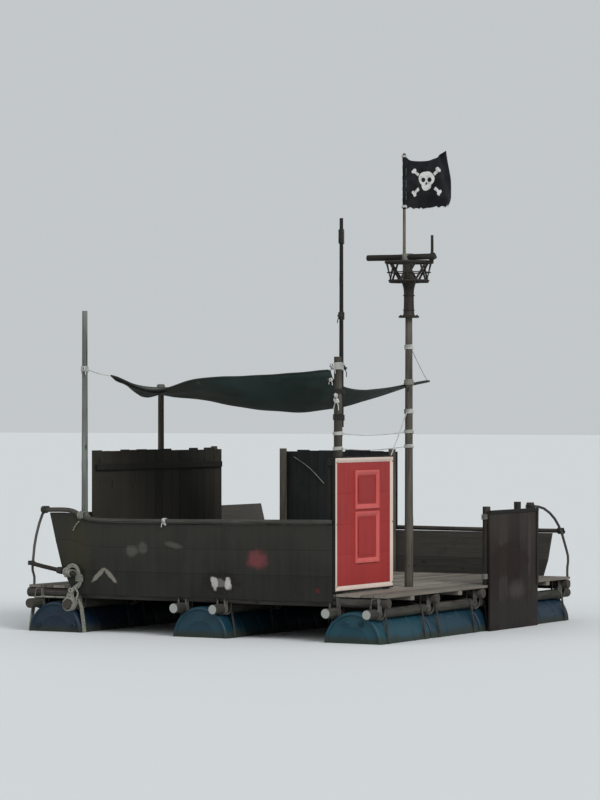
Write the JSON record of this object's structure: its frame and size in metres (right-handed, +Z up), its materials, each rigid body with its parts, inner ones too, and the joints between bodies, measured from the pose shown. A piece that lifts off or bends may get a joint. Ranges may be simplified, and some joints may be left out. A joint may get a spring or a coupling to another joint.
{
  "type": "pole raft on plastic drums",
  "caption": "Square timber pole raft floating on rows of plastic drums, with a boarded hull, masts, a sagging canopy, a small crow's nest and a flag.",
  "frame": {"origin": "middle of the footprint, at the bottom of the drums", "axes": "+X to the right along the long boarded face with the raked stem at its left end, +Y away from that face along the drum rows, +Z up; the waterline is at Z 0.30"},
  "size_m": [3.732, 4, 4.62],
  "materials": {
    "drum": "moulded blue plastic, sun-dulled",
    "round_pole": "peeled round timber, weathered",
    "post": "peeled round timber, weathered",
    "deck_board": "rough sawn board",
    "hull_board": "dark painted board, scuffed",
    "grey_board": "grey weathered board",
    "wall_board": "dark brown painted board",
    "side_board": "dark brown painted board",
    "sign_red": "red painted board",
    "sign_cream": "cream painted timber",
    "dark_pole": "dark stained timber",
    "nest_slats": "dark stained slats",
    "cane": "bent cane",
    "canopy_cloth": "dark green tarpaulin",
    "flag_cloth": "black cloth"
  },
  "bodies": {
    "root": {"drum_1_1": "drum", "drum_1_2": "drum", "drum_1_3": "drum", "drum_1_4": "drum", "drum_2_1": "drum", "drum_2_2": "drum", "drum_2_3": "drum", "drum_2_4": "drum", "drum_3_1": "drum", "drum_3_2": "drum", "drum_3_3": "drum", "drum_3_4": "drum", "cradle_pole_1_left": "round_pole", "cradle_pole_1_right": "round_pole", "cradle_pole_2_left": "round_pole", "cradle_pole_2_right": "round_pole", "cradle_pole_3_left": "round_pole", "cradle_pole_3_right": "round_pole", "cross_pole_1": "round_pole", "cross_pole_2": "round_pole", "cross_pole_3": "round_pole", "cross_pole_4": "round_pole", "cross_pole_5": "round_pole", "front_rail": "round_pole", "back_rail": "round_pole", "bow_bar": "round_pole", "left_pole": "round_pole", "mast": "round_pole", "nest_pole": "round_pole", "canopy_pole": "round_pole", "sign_post_front": "post", "sign_post_rear": "post", "left_rear_post": "post", "back_left_post": "post", "back_middle_post": "post", "back_right_post": "post", "side_post_near": "post", "side_post_far": "post", "deck_section_1": "deck_board", "deck_section_2": "deck_board", "deck_section_3": "deck_board", "deck_section_4": "deck_board", "front_panel": "hull_board", "back_panel": "grey_board", "bow_board": "wall_board", "left_wall": "wall_board", "back_wall": "wall_board", "side_panel": "side_board", "sign_board": "sign_red", "sign_frame": "sign_cream", "topmast": "dark_pole", "flag_staff": "dark_pole", "nest_yard": "dark_pole", "nest_socket": "dark_pole", "crows_nest": "nest_slats", "left_cane": "cane", "right_cane": "cane", "canopy": "canopy_cloth", "flag": "flag_cloth"}
  },
  "joints": []
}
